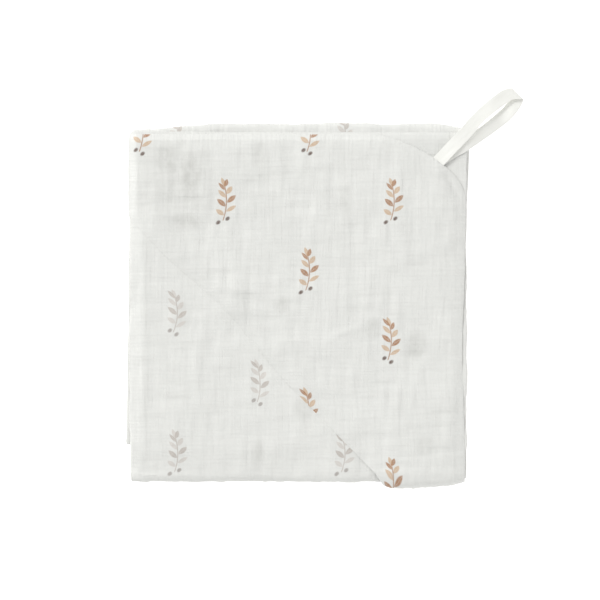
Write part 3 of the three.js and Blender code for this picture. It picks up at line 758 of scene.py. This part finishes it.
def make_loop(name, material):
    """The ribbon: a thin section with soft edges, carried through the loop's rows."""
    diagonal = np.array([1, 1, 0]) / math.sqrt(2)
    sideways = np.array([-1, 1, 0]) / math.sqrt(2)
    up = np.array([0, 0, 1])
    places = np.array([[row["out"], row["side"], row["up"]] for row in LOOP_SECTIONS])
    reaches = np.concatenate([[0], np.cumsum(np.linalg.norm(np.diff(places, axis=0), axis=1))])
    stations = np.linspace(0, reaches[-1], RIBBON_STATIONS)

    def column(name, reach):
        return smooth_column(LOOP_SECTIONS, reaches, name, reach)[:, None]

    def centre(reach):
        return column("out", reach) * diagonal + column("side", reach) * sideways + column("up", reach) * up

    step = 0.05
    forward = centre(stations + step) - centre(stations - step)
    forward[0] = centre(stations[:1] + step) - centre(stations[:1])
    forward[-1] = centre(stations[-1:]) - centre(stations[-1:] - step)
    forward /= np.linalg.norm(forward, axis=1, keepdims=True)
    tilt = np.radians(column("tilt", stations))
    width = np.cos(tilt) * sideways + np.sin(tilt) * up
    face = np.cross(forward, width)
    face /= np.linalg.norm(face, axis=1, keepdims=True)

    shares = np.linspace(1, -1, RIBBON_POINTS)
    cup = RIBBON["cup"] * shares ** 2
    half_thickness = RIBBON["thickness"] / 2 * np.where(abs(shares) == 1, RIBBON["edge_share"], 1)
    ring = list(zip(shares, cup + half_thickness))
    ring += list(zip(shares, cup - half_thickness))[::-1]
    half_width = column("half", stations)
    rows = [centre(stations) + width * half_width * share + face * lift for share, lift in ring]
    points = np.stack(rows, axis=1).reshape(-1, 3)
    size = len(ring)
    faces = [list(range(size))[::-1], [(len(stations) - 1) * size + k for k in range(size)]]
    for station in range(len(stations) - 1):
        for k in range(size):
            a = station * size + k
            b = station * size + (k + 1) % size
            faces.append([a, b, b + size, a + size])
    flat_across = np.array([share for share, _ in ring]) * RIBBON["flat_half"] + RIBBON["flat_width"] / 2
    flat = np.stack(np.broadcast_arrays(stations[:, None], flat_across), axis=-1).reshape(-1, 2)
    return new_mesh(name, points, faces, flat, [material], [0] * len(faces)), reaches[-1]


class Number:
    """A number worked out by a material's nodes, written as ordinary sums."""

    def __init__(self, tree, socket):
        self.tree = tree
        self.socket = socket

    def math(self, operation, *others):
        node = self.tree.nodes.new("ShaderNodeMath")
        node.operation = operation
        for slot, value in zip(node.inputs, (self, *others)):
            connect(self.tree, value, slot)
        return Number(self.tree, node.outputs[0])

    def __add__(self, other):
        return self.math("ADD", other)

    def __sub__(self, other):
        return self.math("SUBTRACT", other)

    def __mul__(self, other):
        return self.math("MULTIPLY", other)

    def __truediv__(self, other):
        return self.math("DIVIDE", other)

    __radd__ = __add__
    __rmul__ = __mul__

    def __rsub__(self, other):
        return self * -1 + other

    def __abs__(self):
        return self.math("ABSOLUTE")

    def clamped(self):
        return self.math("MAXIMUM", 0).math("MINIMUM", 1)


def connect(tree, value, slot):
    """Gives a node's input a worked-out number, another node's output or a plain value."""
    if isinstance(value, Number):
        value = value.socket
    if isinstance(value, bpy.types.NodeSocket):
        tree.links.new(value, slot)
    else:
        slot.default_value = value


def new_material(name, values):
    """A material, its nodes and its shader, whose inputs of these names have these plain values."""
    material = bpy.data.materials.new(name)
    material.use_nodes = True
    tree = material.node_tree
    shader = tree.nodes["Principled BSDF"]
    for input_name, value in values.items():
        shader.inputs[input_name].default_value = value
    return material, tree, shader


def flat_distances(tree):
    """The UV map's two flat distances, in millimetres."""
    uv = tree.nodes.new("ShaderNodeUVMap")
    uv.uv_map = "flat"
    parts = tree.nodes.new("ShaderNodeSeparateXYZ")
    tree.links.new(uv.outputs[0], parts.inputs[0])
    return Number(tree, parts.outputs[0]) / METRES, Number(tree, parts.outputs[1]) / METRES


def soft_noise(tree, u, v, sizes, detail=2):
    """Noise from 0 to 1 over flat distances, with bumps of these sizes along the two."""
    vector = tree.nodes.new("ShaderNodeCombineXYZ")
    connect(tree, u / sizes[0], vector.inputs[0])
    connect(tree, v / sizes[1], vector.inputs[1])
    texture = tree.nodes.new("ShaderNodeTexNoise")
    texture.noise_dimensions = "2D"
    texture.inputs["Scale"].default_value = 1.0
    texture.inputs["Detail"].default_value = detail
    tree.links.new(vector.outputs[0], texture.inputs["Vector"])
    return Number(tree, texture.outputs["Fac"])


def mixed(tree, share, below, above):
    """A colour mixed from two, each a colour or a node's output."""
    node = tree.nodes.new("ShaderNodeMix")
    node.data_type = "RGBA"
    below_input, above_input = node.inputs[6:8]
    connect(tree, share, node.inputs["Factor"])
    connect(tree, below, below_input)
    connect(tree, above, above_input)
    return node.outputs[2]


def bumped(tree, height, distance, below=None):
    """A bump of a height times a distance in metres, on top of another bump."""
    node = tree.nodes.new("ShaderNodeBump")
    node.inputs["Distance"].default_value = distance
    connect(tree, height, node.inputs["Height"])
    if below is not None:
        tree.links.new(below, node.inputs["Normal"])
    return node.outputs["Normal"]


# The print, a leafy sprig with two berries, upright in a half-drop layout. Each row is a pair of leaves, one
# on either side of the stem: where it starts, how far it leans out from upright, its length and half width.
# The stem is bowed, and its ink thins out past its edge by its sharpness. A berry's ink ends at its reach.
PRINT_COLUMN = 62
PRINT_ROW = 104
TOWEL_PRINT_PLACE = (0.04, 0.72)
HOOD_PRINT_PLACE = (0.62, 0.52)
SPRIG_LEAVES = table(
    "y lean length half brown",
    (-9.5, 58, 9.0, 1.9, False),
    (-3.0, 50, 9.5, 2.1, True),
    (3.5, 42, 8.5, 2.0, False),
    (9.0, 32, 7.5, 1.7, True),
)
SPRIG_TOP_LEAF = dict(y=10.0, lean=0, length=8.0, half=1.8)
SPRIG_BERRY = dict(x=3.0, y=-14.6, reach=2.0)
SPRIG_STEM = dict(bow=0.012, shift=1.5, middle=-1, half=14, edge=1.5, sharpness=2.6, share=0.9)
LEAF = dict(stagger=1.4, softness=0.7, vein_sharpness=9, vein_share=0.35)

# Patches where the print of the layer below shows through: their middles, half sizes and strengths.
GHOSTS = table(
    "across along half_across half_along strength",
    (212, 38, 34, 40, 0.20),
    (221, 18, 9, 15, 0.40),
    (204, 31, 9, 20, 0.45),
    (208, 65, 14, 7, 0.35),
    (153, 17, 6, 16, 0.30),
    (89, 52, 6, 15, 0.35),
    (67, 145, 7, 10, 0.35),
    (34, 157, 9, 13, 0.45),
    (135, 127, 8, 8, 0.40),
    (210, 136, 9, 13, 0.35),
    (154, 237, 6, 15, 0.35),
    (120, 205, 9, 9, 0.25),
    (30, 232, 8, 9, 0.30),
)

# The print's tan, brown and dark inks, on its own side and as they show faintly through to the other side.
RIGHT_SIDE_INKS = srgb(201, 174, 146), srgb(166, 122, 88), srgb(100, 80, 70)
WRONG_SIDE_INKS = srgb(205, 200, 194), srgb(188, 181, 174), srgb(166, 160, 155)
CLOTH_COLOUR = (0.725, 0.728, 0.699, 1.0)
GHOST_COLOUR = (0.500, 0.500, 0.470, 1.0)

# The gauze's unevenness: sizes in millimetres, and shares of its brightness, its ink or its roughness. The
# weave's threads and its longer lines are bumps, whose heights are in metres.
MOTTLE = dict(sizes=(24, 24), share=0.08)
SLUB = dict(sizes=(3.2, 3.2), share=0.05, roughness=0.12, least=0.84)
INK_GRAIN = dict(sizes=(1.3, 1.3), contrast=0.5, least=0.62)
BLOTCH = dict(sizes=(5, 8), contrast=3, level=0.9, share=0.6)
WEAVE = dict(thread=0.85, thread_height=0.00003, warp=(2.0, 24), weft=(24, 2.0), line_height=0.0003)
GAUZE_SHEEN = {"Sheen Weight": 0.15, "Sheen Roughness": 0.5}

# The satin's soft waves, its fine lines and its firmer woven edges, in the same measures.
SATIN_COLOURS = (0.84, 0.84, 0.79, 1.0), (0.88, 0.88, 0.84, 1.0)
SATIN_WAVE = dict(sizes=(14, 3.5), height=0.0004, roughness=0.14, least=0.28)
SATIN_LINE = dict(pitch=0.45, height=0.000005)
SATIN_EDGE = dict(start=3.9, sharpness=2.5, share=0.4, colour=(0.91, 0.91, 0.88, 1.0))
SATIN_SHEEN = {"Sheen Weight": 0.2}


def print_cell(u, v, place):
    """Millimetres from the middle of the print's nearest cell, and which way that cell is turned."""
    column = u / PRINT_COLUMN + place[0]
    drop = v / PRINT_ROW + column.math("FLOOR").math("FLOORED_MODULO", 2) * 0.5 + place[1]
    x = (0.5 - column.math("FRACT")) * PRINT_COLUMN
    y = (0.5 - drop.math("FRACT")) * PRINT_ROW
    turned = drop.math("FLOOR").math("FLOORED_MODULO", 2) * 2 - 1
    return x, y, turned


def leaf(x, y, row):
    """A pointed leaf's share, on the side where x is above nought."""
    lean = math.radians(row["lean"])
    rise = y - row["y"]
    length_share = (x * math.sin(lean) + rise * math.cos(lean)) * (2 / row["length"]) - 1
    beside = abs(x * math.cos(lean) - rise * math.sin(lean)) / row["half"]
    body = ((1 - length_share * length_share - beside) * (row["half"] / LEAF["softness"])).clamped()
    vein = (beside * LEAF["vein_sharpness"]).clamped() * LEAF["vein_share"] + (1 - LEAF["vein_share"])
    return body * vein


def sprig_masks(u, v, place):
    """The shares of tan, brown and dark print at flat distances."""
    x, y, turned = print_cell(u, v, place)
    x = (x + y * y * SPRIG_STEM["bow"] - SPRIG_STEM["shift"]) * turned
    beside = abs(x)
    staggered = y - x.math("SIGN") * LEAF["stagger"]
    stem = (SPRIG_STEM["edge"] - beside * SPRIG_STEM["sharpness"]).clamped()
    stem = stem * (SPRIG_STEM["half"] - abs(y - SPRIG_STEM["middle"])).clamped()
    berry_x = (beside - SPRIG_BERRY["x"]).math("POWER", 2)
    berry_y = (staggered - SPRIG_BERRY["y"]).math("POWER", 2)
    berry = (SPRIG_BERRY["reach"] - (berry_x + berry_y).math("SQRT")).clamped()
    tan = leaf(beside, y, SPRIG_TOP_LEAF)
    brown = stem * SPRIG_STEM["share"]
    for row in SPRIG_LEAVES:
        mask = leaf(beside, staggered, row)
        if row["brown"]:
            brown = brown.math("MAXIMUM", mask)
        else:
            tan = tan.math("MAXIMUM", mask)
    return tan, brown, berry


def ghost_mask(tree, u, v):
    """How strongly the print of the layer below shows through, in soft blotches."""
    total = 0
    for ghost in GHOSTS:
        beside = ((u - ghost["across"]) / ghost["half_across"]).math("POWER", 2)
        above = ((v - ghost["along"]) / ghost["half_along"]).math("POWER", 2)
        total = (1 - (beside + above)).clamped() * ghost["strength"] + total
    blotches = (soft_noise(tree, u, v, BLOTCH["sizes"]) * BLOTCH["contrast"] - BLOTCH["level"]).clamped()
    return total * (blotches * BLOTCH["share"] + (1 - BLOTCH["share"]))


def gauze_material(name, inks, place):
    """Double gauze: its weave, its crinkle and its print."""
    material, tree, shader = new_material(name, GAUZE_SHEEN)
    u, v = flat_distances(tree)
    mottle = soft_noise(tree, u, v, MOTTLE["sizes"])
    slub = soft_noise(tree, u, v, SLUB["sizes"], detail=3)
    colour = mixed(tree, ghost_mask(tree, u, v), CLOTH_COLOUR, GHOST_COLOUR)
    ink_grain = soft_noise(tree, u, v, INK_GRAIN["sizes"], detail=3)
    uneven = (ink_grain * INK_GRAIN["contrast"] + INK_GRAIN["least"]).clamped()
    for mask, ink in zip(sprig_masks(u, v, place), inks):
        colour = mixed(tree, mask * uneven, colour, ink)
    shade = (mottle - 0.5) * MOTTLE["share"] + (slub - 0.5) * SLUB["share"] + 1
    shaded = tree.nodes.new("ShaderNodeVectorMath")
    shaded.operation = "SCALE"
    tree.links.new(colour, shaded.inputs[0])
    connect(tree, shade, shaded.inputs["Scale"])
    tree.links.new(shaded.outputs[0], shader.inputs["Base Color"])

    warp_lines = soft_noise(tree, u, v, WEAVE["warp"], detail=1) * WARP_SHARE
    weft_lines = soft_noise(tree, u, v, WEAVE["weft"], detail=1) * WEFT_SHARE
    turn = math.pi / WEAVE["thread"]
    threads = abs((u * turn).math("SINE")) + abs((v * turn).math("SINE"))
    normal = bumped(tree, warp_lines + weft_lines, WEAVE["line_height"])
    normal = bumped(tree, threads, WEAVE["thread_height"], normal)
    tree.links.new(normal, shader.inputs["Normal"])
    connect(tree, slub * SLUB["roughness"] + SLUB["least"], shader.inputs["Roughness"])
    return material


def satin_material():
    """Ivory satin: smooth, with fine lines along the ribbon and firmer woven edges."""
    material, tree, shader = new_material("satin", SATIN_SHEEN)
    along, across = flat_distances(tree)
    lines = (across * (2 * math.pi / SATIN_LINE["pitch"])).math("SINE")
    waves = soft_noise(tree, along, across, SATIN_WAVE["sizes"])
    from_middle = abs(across - RIBBON["flat_width"] / 2)
    edge = ((from_middle - SATIN_EDGE["start"]) * SATIN_EDGE["sharpness"]).clamped()
    tone = mixed(tree, waves, *SATIN_COLOURS)
    tone = mixed(tree, edge * SATIN_EDGE["share"], tone, SATIN_EDGE["colour"])
    tree.links.new(tone, shader.inputs["Base Color"])
    connect(tree, waves * SATIN_WAVE["roughness"] + SATIN_WAVE["least"], shader.inputs["Roughness"])
    normal = bumped(tree, waves, SATIN_WAVE["height"])
    normal = bumped(tree, lines, SATIN_LINE["height"], normal)
    tree.links.new(normal, shader.inputs["Normal"])
    return material


# Camera and light. The photograph is 600 pixels wide and looks straight down, and its middle is a little to
# the right of and above the packet's middle. The lights' and the floor's measures are in metres.
PIXEL = 0.744
VIEW_WIDTH = 600 * PIXEL
FARTHEST = 50
VIEW_MIDDLE = (1.86, 1.86)
LENS = 200
SENSOR = 36
LIGHTS = dict(
    key=dict(place=(-6.0, 5.2, 6.8), size=4.4, power=680),
    fill=dict(place=(3.2, -2.6, 1.1), size=2.0, power=42),
    overhead=dict(place=(0.0, 0.0, 2.2), size=2.4, power=9),
)
SKY = 0.50
WHITE = (1.0, 1.0, 1.0, 1.0)
FLOOR = dict(size=12, below=0.0001)
FLOOR_LOOK = {
    "Base Color": (0.93, 0.93, 0.93, 1.0),
    "Roughness": 0.9,
    "Emission Color": WHITE,
    "Emission Strength": 0.5,
}


def make_camera():
    camera = bpy.data.cameras.new("camera")
    camera.lens = LENS
    camera.sensor_width = SENSOR
    camera.clip_end = FARTHEST
    viewer = bpy.data.objects.new("camera", camera)
    height = VIEW_WIDTH / SENSOR * LENS + TOP_HEIGHT
    viewer.location = Vector((*VIEW_MIDDLE, height)) * METRES
    bpy.context.scene.collection.objects.link(viewer)
    bpy.context.scene.camera = viewer


def make_light(name, light):
    lamp = bpy.data.lights.new(name, "AREA")
    lamp.shape = "DISK"
    lamp.size = light["size"]
    lamp.energy = light["power"]
    holder = bpy.data.objects.new(name, lamp)
    holder.location = light["place"]
    holder.rotation_euler = (-Vector(light["place"])).to_track_quat("-Z", "Y").to_euler()
    holder.visible_camera = False
    bpy.context.scene.collection.objects.link(holder)


def make_stage():
    world = bpy.data.worlds.new("sky")
    world.use_nodes = True
    background = world.node_tree.nodes["Background"]
    background.inputs["Color"].default_value = WHITE
    background.inputs["Strength"].default_value = SKY
    bpy.context.scene.world = world
    half = FLOOR["size"] / 2
    mesh = bpy.data.meshes.new("floor")
    corners = [(-half, -half), (half, -half), (half, half), (-half, half)]
    mesh.from_pydata([(x, y, -FLOOR["below"]) for x, y in corners], [], [(0, 1, 2, 3)])
    mesh.materials.append(new_material("floor", FLOOR_LOOK)[0])
    floor = bpy.data.objects.new("floor", mesh)
    bpy.context.scene.collection.objects.link(floor)


make_camera()
for name, light in LIGHTS.items():
    make_light(name, light)
make_stage()
bpy.context.scene.view_settings.view_transform = "Standard"

towel_materials = [
    gauze_material("towel_wrong_side", WRONG_SIDE_INKS, TOWEL_PRINT_PLACE),
    gauze_material("towel_printed_side", RIGHT_SIDE_INKS, TOWEL_PRINT_PLACE),
]
hood_materials = [
    gauze_material("hood_printed_side", RIGHT_SIDE_INKS, HOOD_PRINT_PLACE),
    gauze_material("hood_wrong_side", WRONG_SIDE_INKS, HOOD_PRINT_PLACE),
]
towel_lines = sheet_lines(TOWEL_COVERED, TOWEL_FINE)
hood_lines = sheet_lines(HOOD_COVERED, HOOD_FINE)
towel = make_sheet("towel_gauze", towel_lines, inside_towel, towel_offset, towel_materials)
hood = make_sheet("hood_gauze", hood_lines, inside_hood, hood_offset, hood_materials)
loop, loop_length = make_loop("ribbon_loop", satin_material())

pieces = (towel, "towel", "gauze"), (hood, "hood", "gauze"), (loop, "hanging_loop", "satin")
for piece, node, slot in pieces:
    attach(piece, "root")
    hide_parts(node)

CLOTH_ACROSS * METRES
CLOTH_ALONG * METRES
loop_length * METRES
